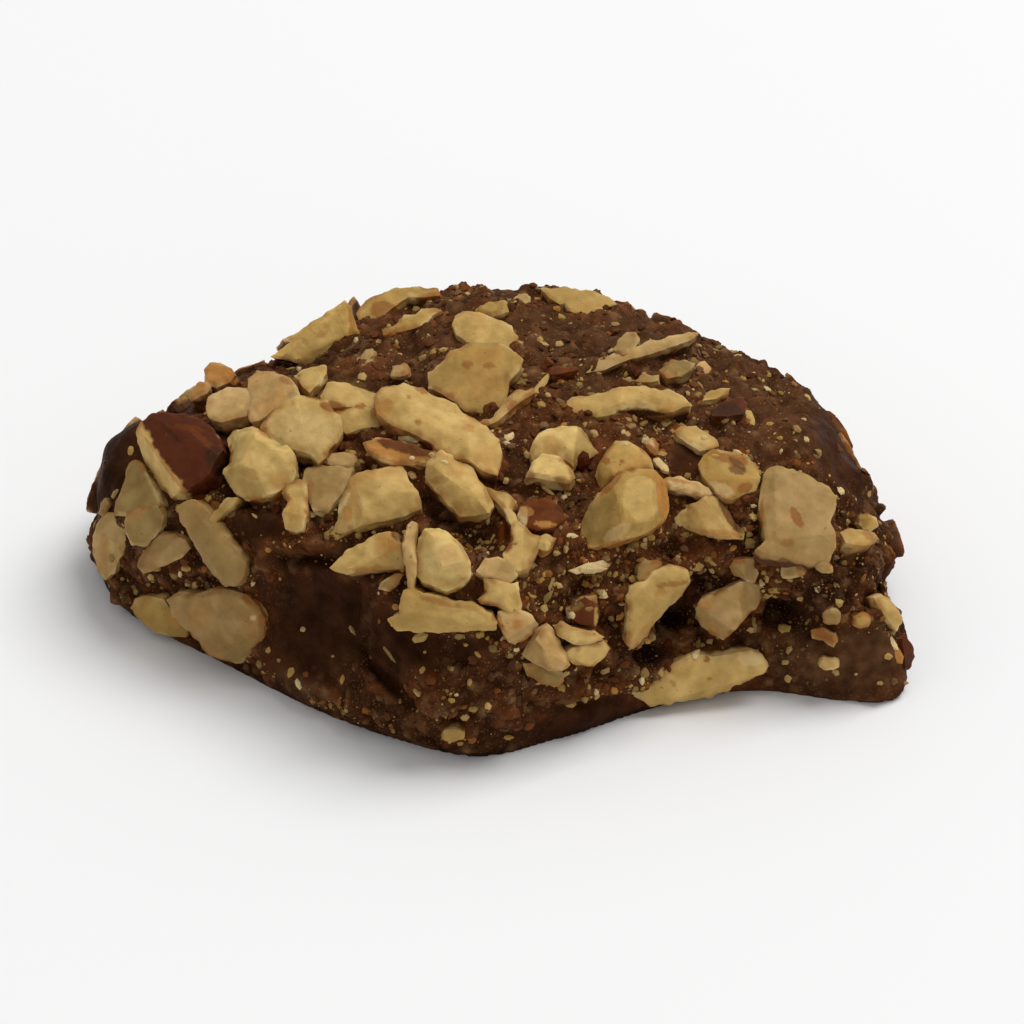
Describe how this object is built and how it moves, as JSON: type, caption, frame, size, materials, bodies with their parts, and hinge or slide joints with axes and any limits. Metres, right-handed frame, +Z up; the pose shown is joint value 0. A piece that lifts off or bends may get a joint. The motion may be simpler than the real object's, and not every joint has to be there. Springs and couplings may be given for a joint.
{
  "type": "english toffee piece",
  "caption": "Lump of toffee coated in dark chocolate and rolled in chopped almonds, with a flat base, a steep front corner and a low foot at one end.",
  "frame": {"origin": "on the table under the middle of the lump's width and depth", "axes": "+X along the width, towards the low foot; +Y away from the steep front corner; +Z up from the flat base"},
  "size_m": [0.0572, 0.0432, 0.0181],
  "materials": {
    "chocolate": "satin dark chocolate with chopped almond pieces in it",
    "almond": "matt cut almond, cream to tan"
  },
  "bodies": {
    "root": {"toffee_piece": "chocolate"}
  },
  "joints": []
}
